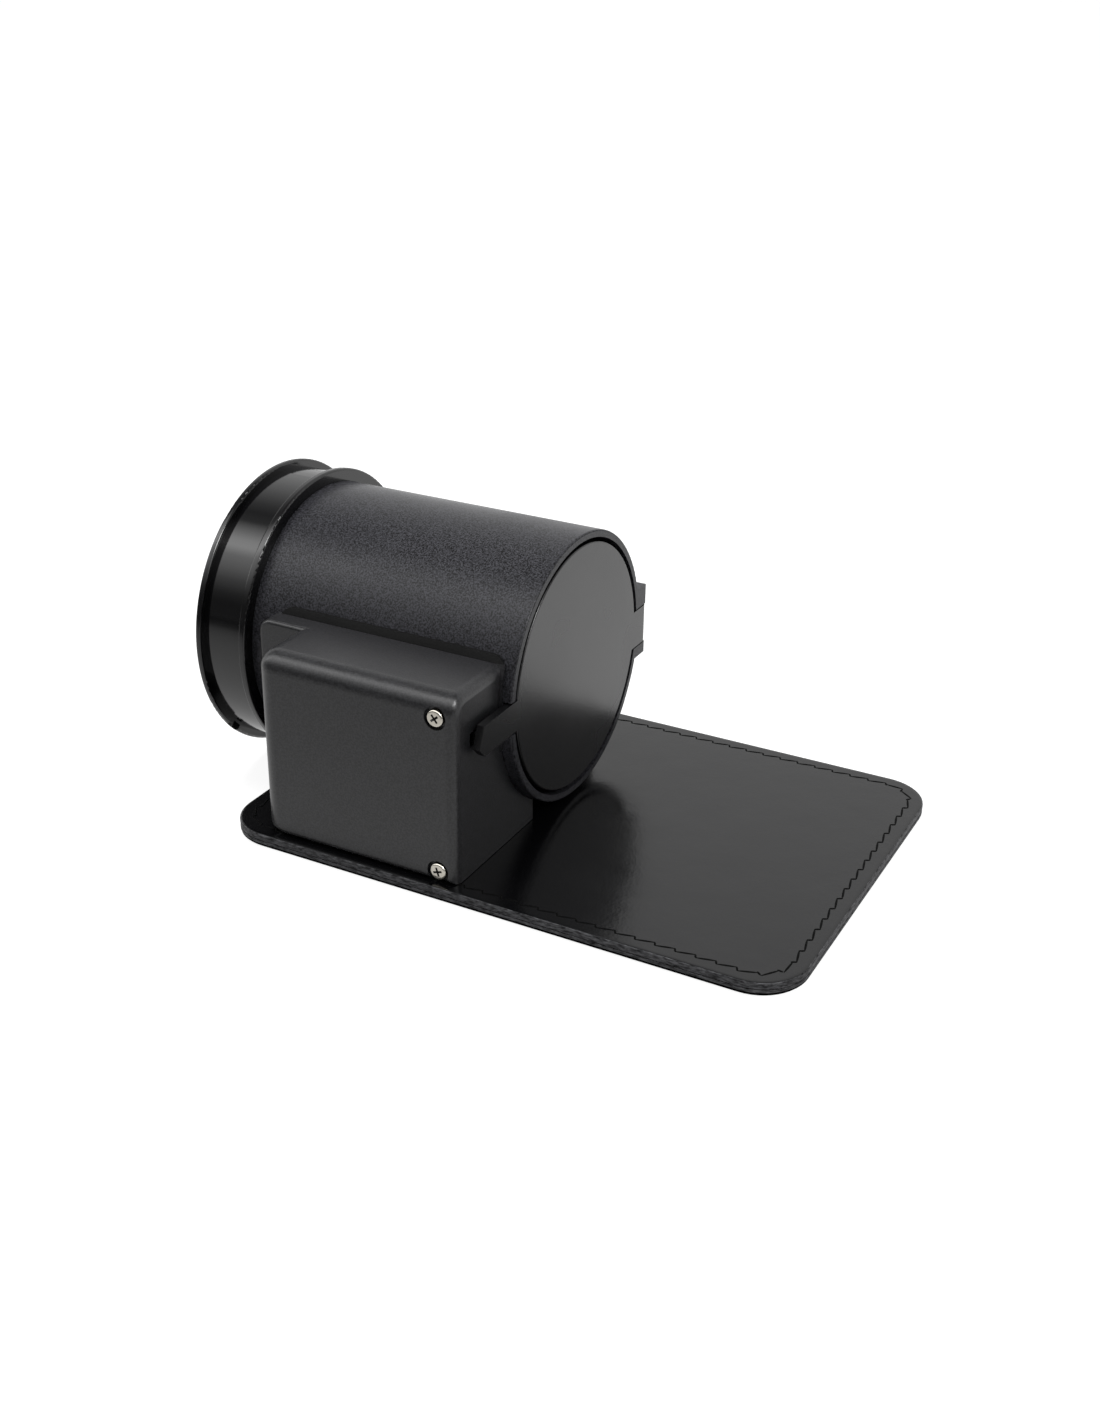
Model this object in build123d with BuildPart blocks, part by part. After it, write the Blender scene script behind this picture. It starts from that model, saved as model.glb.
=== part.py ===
"""Ball launcher for dogs: a spring-loaded tube with a latched lid, on a stitched leather base.

Millimetres. X runs along the base with the lid towards +X, the control box is on the -Y
side, and Z is up. The origin is the middle of the base's underside.
"""
from build123d import *
from math import cos, pi, sin, sqrt
import os

os.makedirs("parts", exist_ok=True)

# Base: two leather layers with a stiffener sheet between them
plate_length = 163.4
plate_width = 113
plate_corner = 13
leather = 2
stiffener_margin = 14
stiffener_corner = 8
stiffener_thickness = 1

# Launch tube and its feet
tube_radius = 37.5
tube_wall = 2
tube_gap = 1
barrel_length = 97
landing_length = 87.2
rim_round = 0.5
foot_spread = 24
foot_width = 8
foot_length = 42
foot_setback = 9.3
foot_screw_spacing = 32

# Rear cap, pushed over the tube's rear end
cap_length = 16.4
cap_wall = 1.75
cap_flange_height = 2.2
cap_flange_thickness = 1.8
cap_front_flange_height = 1.8
cap_front_flange_thickness = 2.3
cap_recess = 1.5
cap_rim_width = 5.5
cap_end_wall = 2
cap_edge_round = 0.7
cap_notch_angle = -137
cap_notch_width = 5
cap_notch_depth = 1.8
cap_notch_web = 0.6

# Lid, with its latch tongue on the near side and its hinge on the far side
lid_gap = 1.2
lid_thickness = 2
lid_edge_round = 0.4
tongue_reach = 15.6
tongue_slant = 2.2
tongue_height = 8.4
tongue_chamfer = 2.6
knuckle_radius = 2.4
knuckle_height = 11.2
hinge_drop = 2.2
lug_radius = 2.6
upper_lug_height = 6.4
upper_lug_round = 3.4
lower_lug_height = 3.2
lower_lug_round = 1.6
pin_radius = 1
pin_standoff = 2.8
pin_cover = 3.2
striker_width = 5.6
striker_thickness = 3
striker_tip = 3.6
striker_hole_radius = 2

# Pusher plate and ejector spring
chamber_length = 53.3
pusher_skirt = 12
pusher_wall = 2
pusher_dish = 4
pusher_rim = 3.1
ejector_inset = 10.5
ejector_wire = 2.2
ejector_turns = 5
spring_ring_wall = 1.7
spring_ring_height = 4

# Control box cover
box_front_margin = 2.6
box_length = 60
box_depth = 21.8
box_rise = 14
box_wall = 2
box_setback = 3.4
box_skirt = 18
box_top_round = 5.2
box_right_round = 2.8
box_bottom_left_round = 7
box_bottom_right_round = 2.5
box_foot_round = 1.5
lip_rise = 16
lip_drop = 12
lip_thickness = 0.8
lip_left_reach = 8.4
lip_overhang = 0.7
lip_corner = 4
ear_drop = 14
ear_standoff = 3.9
ear_reach = 11.6
ear_corner = 4
ear_front_round = 1.2
hook_length = 12
hook_width = 1.4
hook_catch = 0.4

# Cover screws
cover_screw_radius = 1.4
cover_screw_head_radius = 2.35
cover_screw_head_height = 1.6
cover_screw_head_round = 1
cover_screw_sink = 1.4
cover_screw_recess_radius = 3.1
cover_screw_inset = 5.6
cover_screw_drop = 6.2
cover_screw_lift = 2.8
cover_screw_thread = 4
cover_boss_wall = 2.2

# Chassis plate that carries the latch and the electronics
chassis_thickness = 3.2
chassis_standoff = 2.9
chassis_rise = 10.5
chassis_rib = 2
chassis_rib_height = 31

# Latch solenoid
latch_inset = 10
solenoid_width = 13
solenoid_clearance = 0.5
solenoid_sheet = 1.2
solenoid_ear = 6
bobbin_radius = 5.8
bobbin_flange = 1
winding_radius = 5.2
plunger_radius = 2.5
plunger_collar_radius = 3.4
plunger_collar_height = 1
bolt_radius = 1.5
bolt_travel = 3.8
bolt_nose_gap = 0.7
collar_stop_gap = 0.5
bolt_tip_chamfer = 0.5
latch_spring_room = 4.2
latch_spring_radius = 3
latch_spring_wire = 0.5
latch_spring_turns = 3

# Supply and electronics
cell_radius = 7.8
cell_length = 27
cell_lift = 14
cell_inset = 6.5
holder_wall = 1.2
contact_radius = 5
contact_thickness = 0.5
board_length = 32
board_headroom = 1.8
board_thickness = 1.6
board_standoff = 3
board_post_radius = 2.2
board_corner_inset = 3
component_gap = 1
component_round = 1
receiver_length = 16
receiver_headroom = 13
receiver_thickness = 2.8
capacitor_radius = 3.15
capacitor_height = 9
reed_radius = 1.1
reed_length = 14
antenna_radius = 0.6
antenna_reach = 26
antenna_rise = 5

# Small screws
base_screw_radius = 1.4
base_screw_head_radius = 2.8
base_screw_depth = 7
base_screw_sink = 0.3
small_screw_radius = 1
small_screw_head_radius = 1.9
small_screw_head_height = 1.2
small_screw_head_round = 0.6

# Clearances
screw_clearance = 0.05
loose_hole = 0.2
pocket_clearance = 0.05
cap_clearance = 0.05
cover_gap = 0.2
running_gap = 0.4
hinge_clearance = 0.05
pin_clearance = 0.02
latch_swing_gap = 1.7
seat_gap = 0.1
chassis_gap = 0.9

# Places worked out from the sizes
plate_top = 2 * leather
stiffener_length = plate_length - 2 * stiffener_margin
stiffener_width = plate_width - 2 * stiffener_margin
box_front = box_front_margin - plate_width / 2
near_side = box_front + box_depth
tube_y = near_side + tube_radius
far_side = tube_y + tube_radius
tube_z = plate_top + tube_gap + tube_radius
bore_radius = tube_radius - tube_wall
rim_x = plate_length / 2 - landing_length
cap_back = rim_x - barrel_length
cap_front = cap_back + cap_length
cap_bore = tube_radius + cap_clearance
cap_drum_radius = cap_bore + cap_wall
cap_flange_radius = cap_drum_radius + cap_flange_height
cap_front_flange_radius = cap_drum_radius + cap_front_flange_height
cap_recess_radius = cap_flange_radius - cap_rim_width
cap_end_face = cap_back + cap_recess
cap_inner_face = cap_end_face + cap_end_wall
tube_length = rim_x - cap_inner_face
foot_front = rim_x - foot_setback
foot_middle = foot_front - foot_length / 2
pusher_x = rim_x - chamber_length
pusher_radius = bore_radius - running_gap
pusher_dish_radius = pusher_radius - pusher_rim
ejector_radius = bore_radius - ejector_inset
ring_outer = ejector_radius - ejector_wire / 2 - running_gap
lid_radius = bore_radius - lid_gap
lid_back = rim_x - lid_thickness
pin_x = rim_x - knuckle_radius
pin_y = far_side + pin_standoff
hinge_z = tube_z - hinge_drop
hinge_half = knuckle_height / 2 + running_gap
pin_top = hinge_z + hinge_half + upper_lug_height - pin_cover
pin_bottom = hinge_z - hinge_half - lower_lug_height
box_right = rim_x - box_setback
box_left = box_right - box_length
box_bottom = plate_top + cover_gap
box_top = tube_z + box_rise
box_back = near_side + box_skirt
lip_left = box_left - lip_left_reach
lip_right = box_right + lip_overhang
ear_left = box_left - ear_reach
ear_front = near_side - ear_standoff
ear_bottom = tube_z - ear_drop
chassis_front = near_side - chassis_standoff
chassis_back = chassis_front + chassis_thickness
chassis_left = box_left + box_wall + chassis_gap
chassis_right = box_right - box_wall - chassis_gap
chassis_top = tube_z + chassis_rise
cover_screw_x = box_right - cover_screw_inset
cover_screw_heights = (
    box_top - cover_screw_drop,
    box_bottom + cover_screw_lift,
)
cover_screw_seat = box_front + cover_screw_sink
latch_x = box_right - latch_inset
latch_y = chassis_front - solenoid_sheet - bobbin_radius - loose_hole
striker_bottom = tube_z - striker_thickness / 2
bolt_top = striker_bottom - bolt_nose_gap
collar_top = striker_bottom - bolt_travel - collar_stop_gap
collar_bottom = collar_top - plunger_collar_height
solenoid_top = collar_bottom - latch_spring_room
solenoid_bottom = cover_screw_heights[1] + cover_screw_radius + cover_boss_wall + solenoid_clearance
solenoid_front = latch_y - bobbin_radius - loose_hole
solenoid_left = latch_x - solenoid_width / 2
solenoid_ear_x = solenoid_left - solenoid_ear / 2
solenoid_ear_heights = (
    solenoid_bottom + solenoid_ear / 2,
    solenoid_top - solenoid_ear / 2,
)
cell_left = box_left + cell_inset
cell_y = chassis_front - holder_wall - cell_radius
cell_z = plate_top + cell_lift
holder_top = cell_z + cell_radius + holder_wall
board_left = chassis_left + seat_gap
board_bottom = holder_top + holder_wall
board_back = chassis_front - board_standoff
board_front = board_back - board_thickness
board_height = chassis_top - board_headroom - board_bottom
base_screw_points = [
    (foot_middle + along * foot_screw_spacing / 2, tube_y + across * foot_spread)
    for along in (-1, 1)
    for across in (-1, 1)
]
board_screw_points = [
    (board_left + x, board_bottom + z)
    for x in (board_corner_inset, board_length - board_corner_inset)
    for z in (board_corner_inset, board_height - board_corner_inset)
]
tube_axis = Axis((0, tube_y, tube_z), (1, 0, 0))


def facing_lid(x, y, z):
    """Plane at a point that faces +X, with its X along +Y."""
    return Plane((x, y, z), x_dir=(0, 1, 0), z_dir=(1, 0, 0))


def across_tube(x):
    """Plane square to the tube, centred on its axis, that faces +X."""
    return facing_lid(x, tube_y, tube_z)


def facing_near(x, y, z):
    """Plane at a point that faces the near side, with X to the right."""
    return Plane((x, y, z), x_dir=(1, 0, 0), z_dir=(0, -1, 0))


tube_side = facing_near(0, tube_y, tube_z)


def block(x0, x1, y0, y1, z0, z1, mode=Mode.ADD):
    """Add or cut a box between two corners in the part that is being built."""
    with Locations(((x0 + x1) / 2, (y0 + y1) / 2, (z0 + z1) / 2)):
        Box(x1 - x0, y1 - y0, z1 - z0, mode=mode)


def finish(part, name):
    """Label a finished piece and write it to its own file."""
    part.label = name
    export_step(part, f"parts/{name}.step")


def helix_station(base, radius, pitch, turn):
    """Point and direction on a helix that climbs along the normal of its base plane."""
    angle = 2 * pi * turn
    point = Vector(radius * cos(angle), radius * sin(angle), pitch * turn)
    heading = Vector(-radius * sin(angle), radius * cos(angle), pitch / (2 * pi))
    tip = base.from_local_coords(point + heading)
    start = base.from_local_coords(point)
    return start, (tip - start).normalized()


def add_biarc(start, start_dir, end, end_dir):
    """Join two points by two tangent arcs that keep the directions at both ends."""
    span = end - start
    both = start_dir + end_dir
    bend = 2 * (1 - start_dir.dot(end_dir))
    lean = span.dot(both)
    reach = (sqrt(lean**2 + bend * span.dot(span)) - lean) / bend
    first_corner = start + start_dir * reach
    second_corner = end - end_dir * reach
    middle = (first_corner + second_corner) * 0.5
    TangentArc(start, middle, tangent=start_dir)
    TangentArc(middle, end, tangent=second_corner - first_corner)


def coil_spring(base, radius, wire, length, turns, name):
    """One unbroken coil of round wire, standing on its base plane."""
    pitch = (length - wire) / turns
    seat = base.offset(wire / 2)
    stations = [helix_station(seat, radius, pitch, half / 2) for half in range(2 * turns + 1)]
    with BuildPart() as spring:
        with BuildLine() as path:
            for (start, start_dir), (end, end_dir) in zip(stations, stations[1:]):
                add_biarc(start, start_dir, end, end_dir)
        with BuildSketch(Plane(stations[0][0], z_dir=stations[0][1])):
            Circle(wire / 2)
        sweep()
    samples_per_turn = 24
    count = samples_per_turn * turns
    centre_line = path.wires()[0]
    points = [centre_line @ (i / count) for i in range(count + 1)]
    gap = min(
        (points[i] - points[j]).length
        for i in range(count + 1)
        for j in range(i + samples_per_turn // 2, count + 1)
    )
    print(f"{name}: least gap between turns {gap - wire:.2f} mm")
    return spring.part


def countersunk_screws(points):
    """Flat-headed screws driven upwards through the base into the tube's feet."""
    head_height = base_screw_head_radius - base_screw_radius
    tip = plate_top + base_screw_depth
    with BuildPart() as screws:
        for x, y in points:
            with BuildSketch(facing_near(x, y, 0)):
                with BuildLine():
                    Polyline(
                        (0, base_screw_sink),
                        (base_screw_head_radius, base_screw_sink),
                        (base_screw_radius, base_screw_sink + head_height),
                        (base_screw_radius, tip - base_screw_radius),
                        (0, tip),
                        close=True,
                    )
                make_face()
            revolve(axis=Axis((x, y, 0), (0, 0, 1)))
    return screws.part


def pan_screws(points, seat, tip, radius, head_radius, head_height, head_round):
    """Round-headed screws that point away from the near side, at (x, z) places."""
    with BuildPart() as screws:
        for x, z in points:
            with BuildSketch(Plane((x, seat, z), x_dir=(1, 0, 0), z_dir=(0, 0, 1))):
                with BuildLine():
                    Polyline(
                        (0, -head_height),
                        (head_radius - head_round, -head_height),
                        (head_radius, head_round - head_height),
                        (head_radius, 0),
                        (radius, 0),
                        (radius, tip - seat - radius),
                        (0, tip - seat),
                        close=True,
                    )
                make_face()
            revolve(axis=Axis((x, seat, z), (0, 1, 0)))
    return screws.part


def hinge_lug(bottom, height, corner_round, free_end):
    """Lug round the pin's line, the outer corner of its free end rounded (0 below, -1 above)."""
    lug_left = pin_x - lug_radius
    with BuildPart() as lug:
        with BuildSketch(Plane.XY.offset(bottom)):
            with Locations((pin_x, pin_y)):
                Circle(lug_radius)
            with Locations(((lug_left + rim_x) / 2, (tube_y + pin_y) / 2)):
                Rectangle(rim_x - lug_left, pin_y - tube_y)
        extrude(amount=height)
        with BuildSketch(facing_lid(lug_left, tube_y, bottom)):
            Rectangle(pin_y + lug_radius - tube_y, height, align=Align.MIN)
            fillet(vertices().sort_by(Axis.X)[-2:].sort_by(Axis.Y)[free_end], corner_round)
        extrude(amount=rim_x - lug_left, mode=Mode.INTERSECT)
    return lug.part


# Base layers
with BuildPart() as base_bottom_leather:
    with BuildSketch():
        RectangleRounded(plate_length, plate_width, plate_corner)
    extrude(amount=leather)
    with Locations(*[Plane((x, y, 0), z_dir=(0, 0, -1)) for x, y in base_screw_points]):
        CounterSinkHole(
            base_screw_radius + loose_hole,
            base_screw_head_radius + base_screw_sink + loose_hole,
            counter_sink_angle=90,
        )
finish(base_bottom_leather.part, "base_bottom_leather")

with BuildPart() as base_stiffener:
    with BuildSketch(Plane.XY.offset(leather)):
        RectangleRounded(stiffener_length, stiffener_width, stiffener_corner)
        with Locations(*base_screw_points):
            Circle(base_screw_radius + loose_hole, mode=Mode.SUBTRACT)
    extrude(amount=stiffener_thickness)
finish(base_stiffener.part, "base_stiffener")

with BuildPart() as base_top_leather:
    with BuildSketch(Plane.XY.offset(leather)):
        RectangleRounded(plate_length, plate_width, plate_corner)
        with Locations(*base_screw_points):
            Circle(base_screw_radius + loose_hole, mode=Mode.SUBTRACT)
    extrude(amount=leather)
    with BuildSketch(Plane.XY.offset(leather)):
        RectangleRounded(
            stiffener_length + 2 * pocket_clearance,
            stiffener_width + 2 * pocket_clearance,
            stiffener_corner + pocket_clearance,
        )
    extrude(amount=stiffener_thickness, mode=Mode.SUBTRACT)
finish(base_top_leather.part, "base_top_leather")

base_screws = countersunk_screws(base_screw_points)
finish(base_screws, "base_screws")

# Launch tube, moulded with its feet, hinge lugs and the chassis plate in the control box
with BuildPart() as launch_tube:
    with BuildSketch(across_tube(cap_inner_face)):
        Circle(tube_radius)
    extrude(amount=tube_length)
    fillet(edges().sort_by(Axis.X)[-1], rim_round)

    foot_top = tube_z - sqrt(tube_radius**2 - (foot_spread + foot_width / 2) ** 2) + tube_wall / 2
    for side in (-1, 1):
        foot_y = tube_y + side * foot_spread
        block(foot_front - foot_length, foot_front, foot_y - foot_width / 2, foot_y + foot_width / 2,
              plate_top, foot_top)

    block(chassis_left, chassis_right, chassis_front, chassis_back, plate_top, chassis_top)
    chassis_middle = (chassis_left + chassis_right) / 2
    for rib_x in (chassis_left + chassis_rib, chassis_middle, chassis_right - chassis_rib):
        block(rib_x - chassis_rib / 2, rib_x + chassis_rib / 2, chassis_front, tube_y - foot_spread,
              plate_top, plate_top + chassis_rib_height)
    block(chassis_left, chassis_left + box_bottom_left_round, chassis_front, tube_y - foot_spread,
          plate_top, plate_top + box_bottom_left_round, mode=Mode.SUBTRACT)
    with BuildSketch(facing_near(cover_screw_x, chassis_back, cover_screw_heights[1])):
        Circle(cover_screw_heights[1] - plate_top)
    extrude(amount=-cover_screw_thread)
    with BuildSketch(facing_near(0, chassis_front, 0)):
        with Locations(*board_screw_points):
            Circle(board_post_radius)
    extrude(amount=board_standoff)

    add(hinge_lug(hinge_z + hinge_half, upper_lug_height, upper_lug_round, -1))
    add(hinge_lug(pin_bottom, lower_lug_height, lower_lug_round, 0))
    with Locations((pin_x, pin_y, pin_bottom)):
        Cylinder(
            pin_radius + pin_clearance,
            pin_top - pin_bottom,
            align=(Align.CENTER, Align.CENTER, Align.MIN),
            mode=Mode.SUBTRACT,
        )

    with BuildSketch(across_tube(cap_inner_face)):
        Circle(bore_radius)
    extrude(amount=tube_length, mode=Mode.SUBTRACT)

    # Notches in the rim for the hinge arm and for the latch tongue
    notch_depth = lid_thickness + running_gap
    tongue_half = tongue_height / 2 + running_gap
    block(rim_x - notch_depth, rim_x, tube_y, pin_y + lug_radius,
          hinge_z - hinge_half, hinge_z + hinge_half, mode=Mode.SUBTRACT)
    block(rim_x - notch_depth, rim_x, chassis_front, tube_y,
          tube_z - tongue_half, tube_z + tongue_half, mode=Mode.SUBTRACT)

    # Pilot holes for the screws
    with Locations(*[(x, y, plate_top + base_screw_depth / 2) for x, y in base_screw_points]):
        Cylinder(base_screw_radius + screw_clearance, base_screw_depth, mode=Mode.SUBTRACT)
    with Locations(*[facing_near(cover_screw_x, chassis_front, z) for z in cover_screw_heights]):
        Hole(cover_screw_radius + screw_clearance, depth=cover_screw_thread)
    with Locations(*[facing_near(x, board_back, z) for x, z in board_screw_points]):
        Hole(small_screw_radius + screw_clearance, depth=board_standoff)
    with Locations(*[facing_near(solenoid_ear_x, chassis_front, z) for z in solenoid_ear_heights]):
        Hole(small_screw_radius + screw_clearance, depth=chassis_thickness)
finish(launch_tube.part, "launch_tube")

# Rear cap
with BuildPart() as rear_cap:
    with BuildSketch(tube_side) as cap_profile:
        with BuildLine():
            Polyline(
                (cap_back, cap_recess_radius),
                (cap_back, cap_flange_radius),
                (cap_back + cap_flange_thickness, cap_flange_radius),
                (cap_back + cap_flange_thickness, cap_drum_radius),
                (cap_front - cap_front_flange_thickness, cap_drum_radius),
                (cap_front - cap_front_flange_thickness, cap_front_flange_radius),
                (cap_front, cap_front_flange_radius),
                (cap_front, cap_bore),
                (cap_inner_face, cap_bore),
                (cap_inner_face, 0),
                (cap_end_face, 0),
                (cap_end_face, cap_recess_radius),
                close=True,
            )
        make_face()
        flange_corners = cap_profile.vertices().filter_by(lambda v: v.Y > cap_drum_radius + cap_edge_round)
        fillet(flange_corners, cap_edge_round)
    revolve(axis=tube_axis)
    with BuildSketch(across_tube(cap_inner_face)):
        Circle(ring_outer)
        Circle(ring_outer - spring_ring_wall, mode=Mode.SUBTRACT)
    extrude(amount=spring_ring_height)
    with BuildSketch(across_tube(cap_back + cap_notch_web)):
        with PolarLocations(cap_flange_radius, 1, start_angle=cap_notch_angle):
            Rectangle(2 * cap_notch_depth, cap_notch_width)
    extrude(amount=cap_flange_thickness - cap_notch_web, mode=Mode.SUBTRACT)
finish(rear_cap.part, "rear_cap")

# Lid, with its tongue, striker, hinge arm and knuckle
with BuildPart() as lid:
    tongue_end = near_side - tongue_reach
    tongue_top = tube_z + tongue_height / 2
    tongue_bottom = tube_z - tongue_height / 2
    with BuildSketch(Plane.YZ.offset(lid_back)):
        with Locations((tube_y, tube_z)):
            Circle(lid_radius)
    extrude(amount=lid_thickness)
    fillet(faces().sort_by(Axis.X)[-1].edges(), lid_edge_round)
    with BuildSketch(Plane.YZ.offset(lid_back)):
        with BuildLine():
            Polyline(
                (tube_y, tongue_top),
                (tongue_end + tongue_slant, tongue_top),
                (tongue_end, tongue_bottom + tongue_chamfer),
                (tongue_end + tongue_chamfer, tongue_bottom),
                (tube_y, tongue_bottom),
                close=True,
            )
        make_face()
        with Locations(((tube_y + pin_y) / 2, hinge_z)):
            Rectangle(pin_y - tube_y, knuckle_height)
    extrude(amount=lid_thickness)
    with Locations((pin_x, pin_y, hinge_z)):
        Cylinder(knuckle_radius, knuckle_height)
        Cylinder(pin_radius + hinge_clearance, knuckle_height, mode=Mode.SUBTRACT)
    block(latch_x - striker_tip, lid_back, latch_y - striker_width / 2, latch_y + striker_width / 2,
          striker_bottom, striker_bottom + striker_thickness)
    with Locations((latch_x, latch_y, tube_z)):
        Cylinder(striker_hole_radius, striker_thickness, mode=Mode.SUBTRACT)
finish(lid.part, "lid")

with BuildPart() as lid_hinge_pin:
    with Locations((pin_x, pin_y, pin_bottom)):
        Cylinder(pin_radius, pin_top - pin_bottom, align=(Align.CENTER, Align.CENTER, Align.MIN))
finish(lid_hinge_pin.part, "lid_hinge_pin")

# Pusher plate: a dished web in a guide skirt, with a ring behind that centres the spring
dish_sphere = (pusher_dish_radius**2 + pusher_dish**2) / (2 * pusher_dish)


def dish_x(radius):
    """Front of the dished web at a distance from the tube's axis."""
    return pusher_x - pusher_dish + dish_sphere - sqrt(dish_sphere**2 - radius**2)


with BuildPart() as pusher_plate:
    half = pusher_dish_radius / 2
    skirt_inside = pusher_radius - pusher_wall
    with BuildSketch(tube_side):
        with BuildLine():
            ThreePointArc(
                (dish_x(0), 0), (dish_x(half), half), (pusher_x, pusher_dish_radius)
            )
            Polyline(
                (pusher_x, pusher_dish_radius),
                (pusher_x, pusher_radius),
                (pusher_x - pusher_skirt, pusher_radius),
                (pusher_x - pusher_skirt, skirt_inside),
                (pusher_x - pusher_wall, skirt_inside),
                (pusher_x - pusher_wall, pusher_dish_radius),
            )
            ThreePointArc(
                (pusher_x - pusher_wall, pusher_dish_radius),
                (dish_x(half) - pusher_wall, half),
                (dish_x(0) - pusher_wall, 0),
            )
            Line((dish_x(0) - pusher_wall, 0), (dish_x(0), 0))
        make_face()
    revolve(axis=tube_axis)
    ring_back = dish_x(ejector_radius) - pusher_wall - spring_ring_height
    with BuildSketch(across_tube(ring_back)):
        Circle(ring_outer)
        Circle(ring_outer - spring_ring_wall, mode=Mode.SUBTRACT)
    extrude(amount=spring_ring_height)
finish(pusher_plate.part, "pusher_plate")

ejector_back = cap_inner_face + seat_gap
ejector_length = dish_x(ejector_radius - ejector_wire / 2) - pusher_wall - seat_gap - ejector_back
ejector_spring = coil_spring(
    across_tube(ejector_back), ejector_radius, ejector_wire, ejector_length, ejector_turns, "ejector_spring"
)
finish(ejector_spring, "ejector_spring")


# Control box cover: a rounded tub whose open back follows the tube
def box_prism(inset, back):
    """The box's outline with rounded bottom corners, as deep as the box."""
    length = box_right - box_left - 2 * inset
    height = box_top - box_bottom - 2 * inset
    with BuildPart() as prism:
        with BuildSketch(facing_near(box_left + inset, back, box_bottom + inset)):
            Rectangle(length, height, align=Align.MIN)
            left_corner, right_corner = vertices().sort_by(Axis.Y)[:2].sort_by(Axis.X)
            fillet(left_corner, box_bottom_left_round - inset)
            fillet(right_corner, box_bottom_right_round - inset)
        extrude(amount=back - box_front - inset)
        if inset == 0:
            fillet(prism.faces().sort_by(Axis.Y)[0].edges().sort_by(Axis.Z)[0], box_foot_round)
    return prism.part


def box_form(inset, back):
    """The box's rounded form, drawn in from its outer faces and open-ended at the back."""
    with BuildPart() as form:
        block(box_left + inset, box_right - inset, box_front + inset, back,
              box_bottom + inset, box_top - inset)
        front = form.faces().sort_by(Axis.Y)[0].edges()
        top_left = form.edges().filter_by(Axis.Y).group_by(Axis.X)[0].sort_by(Axis.Z)[-1]
        fillet([front.sort_by(Axis.Z)[-1], front.sort_by(Axis.X)[0], top_left], box_top_round - inset)
        end_edges = form.faces().sort_by(Axis.X)[-1].edges()
        fillet([end_edges.sort_by(Axis.Y)[0], end_edges.sort_by(Axis.Z)[-1]], box_right_round - inset)
        add(box_prism(inset, back), mode=Mode.INTERSECT)
    return form.part


def saddle_strip(left, right, rise, drop, thickness, corner):
    """Strip with rounded corners that lies round the tube's near side, above and below its axis."""
    length = right - left
    height = rise + drop
    with BuildPart() as strip:
        with BuildSketch(facing_near((left + right) / 2, tube_y, tube_z + rise - height / 2)):
            RectangleRounded(length, height, corner)
        extrude(amount=tube_radius + cover_gap + 2 * thickness)
        with BuildSketch(across_tube(left)):
            Circle(tube_radius + cover_gap + thickness)
            Circle(tube_radius + cover_gap, mode=Mode.SUBTRACT)
        extrude(amount=length, mode=Mode.INTERSECT)
    return strip.part


def ear_form(inset, right):
    """The ear's rounded form on the box's left, drawn in from its outer faces."""
    with BuildPart() as form:
        block(ear_left + inset, right, ear_front + inset, tube_y, ear_bottom + inset, box_top - inset)
        fillet(form.edges().filter_by(Axis.Y).group_by(Axis.X)[0], ear_corner - inset)
        if inset == 0:
            fillet(form.faces().sort_by(Axis.Y)[0].edges().sort_by(Axis.X)[:-1], ear_front_round)
    return form.part


with BuildPart() as control_box_cover:
    add(box_form(0, box_back))
    add(saddle_strip(lip_left, lip_right, lip_rise, lip_drop, lip_thickness, lip_corner))
    add(ear_form(0, box_left + box_top_round))
    add(ear_form(box_wall, box_left), mode=Mode.SUBTRACT)
    with BuildSketch(across_tube(ear_left)):
        Circle(tube_radius + cover_gap)
    extrude(amount=lip_right - ear_left, mode=Mode.SUBTRACT)
    add(box_form(box_wall, box_back + box_wall), mode=Mode.SUBTRACT)
    inner_left = box_left + box_wall
    inner_right = box_right - box_wall
    block(inner_left + box_bottom_left_round - box_wall, inner_right, chassis_front - chassis_gap, box_back,
          box_bottom, box_bottom + box_wall, mode=Mode.SUBTRACT)

    # Screw bosses from the face to the chassis, and the recesses for the heads
    boss_end = chassis_front - seat_gap
    for z in cover_screw_heights:
        with BuildSketch(facing_near(cover_screw_x, boss_end, z)):
            Circle(cover_screw_radius + cover_boss_wall)
        extrude(amount=boss_end - box_front - box_wall)
    with Locations(*[facing_near(cover_screw_x, box_front, z) for z in cover_screw_heights]):
        CounterBoreHole(
            cover_screw_radius + loose_hole,
            cover_screw_recess_radius,
            cover_screw_sink,
            depth=boss_end - box_front,
        )
    block(box_left, box_right, box_front, box_back, box_bottom - box_wall, box_bottom, mode=Mode.SUBTRACT)

    # Hook on the left wall that catches behind the chassis plate
    hook_bottom = box_bottom + box_bottom_left_round
    hook_y = chassis_back + cover_gap
    block(box_left + box_wall / 2, chassis_left + hook_catch, hook_y, hook_y + hook_width,
          hook_bottom, hook_bottom + hook_length)

    # Slot in the end wall for the lid's striker
    slot_half = striker_width / 2 + latch_swing_gap
    slot_rise = striker_thickness / 2 + running_gap
    block(inner_right, box_right, latch_y - slot_half, latch_y + slot_half,
          tube_z - slot_rise, tube_z + slot_rise, mode=Mode.SUBTRACT)
finish(control_box_cover.part, "control_box_cover")

cover_screws = pan_screws(
    [(cover_screw_x, z) for z in cover_screw_heights],
    cover_screw_seat,
    chassis_front + cover_screw_thread - seat_gap,
    cover_screw_radius,
    cover_screw_head_radius,
    cover_screw_head_height,
    cover_screw_head_round,
)
finish(cover_screws, "cover_screws")

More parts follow.
